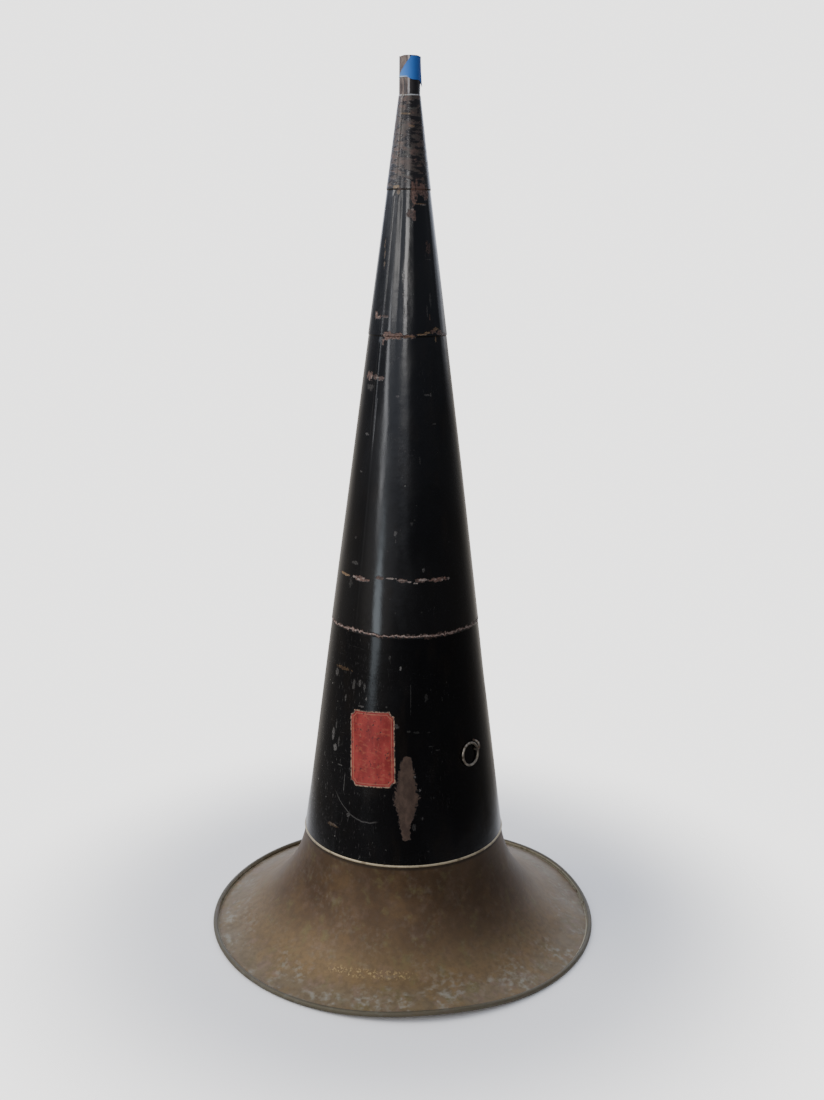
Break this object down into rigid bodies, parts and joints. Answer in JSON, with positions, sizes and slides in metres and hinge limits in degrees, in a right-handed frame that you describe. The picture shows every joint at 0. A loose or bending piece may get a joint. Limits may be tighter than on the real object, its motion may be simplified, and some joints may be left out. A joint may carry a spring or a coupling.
{
  "type": "acoustic speaking horn",
  "caption": "Long conical tin speaking horn with a flared brass bell, a narrow mouth tube and a hanging ring; it amplifies a voice and stands on its bell.",
  "frame": {"origin": "centre of the bell's rim, on the plane that the horn stands on", "axes": "+Z along the horn's axis from the bell to the mouth tube; +X towards the wire eye; +Y completes a right-handed frame"},
  "size_m": [0.3556, 0.3556, 0.764],
  "materials": {
    "black_japan": "glossy black japan over tinplate, scratched, with rust lines where it has cracked",
    "worn_japan": "black japan rubbed through to brown, rusty tinplate",
    "worn_tin": "bare brown-grey tinplate with streaks of old paint",
    "aged_brass": "brown aged brass, satin, with grey-green verdigris towards the rim",
    "bright_brass": "pale rubbed brass",
    "iron_wire": "dull iron wire with brown rust",
    "ring_wire": "tarnished, rubbed iron wire",
    "solder": "dull grey solder",
    "label_film": "worn red varnish transfer with a pale border, no lettering"
  },
  "bodies": {
    "horn": {"bell": "aged_brass", "rim_wire": "iron_wire", "bell_bead": "bright_brass", "bell_solder": "solder", "lower_cone": "black_japan", "middle_cone": "black_japan", "upper_cone": "black_japan", "throat_cone": "worn_japan", "middle_lap_solder": "solder", "upper_lap_solder": "solder", "throat_lap_solder": "solder", "mouth_tube": "worn_tin", "mouth_tube_solder": "solder", "ring_eye": "iron_wire", "eye_solder": "solder", "label": "label_film"},
    "ring": {"hanging_ring": "ring_wire"}
  },
  "joints": [
    {"name": "ring_swing", "type": "hinge", "parent": "horn", "child": "ring", "pos_m": [0.07993, 0, 0.1903], "axis": [-0.1509, -0.6968, 0.7012], "range_deg": [0, 165]}
  ]
}
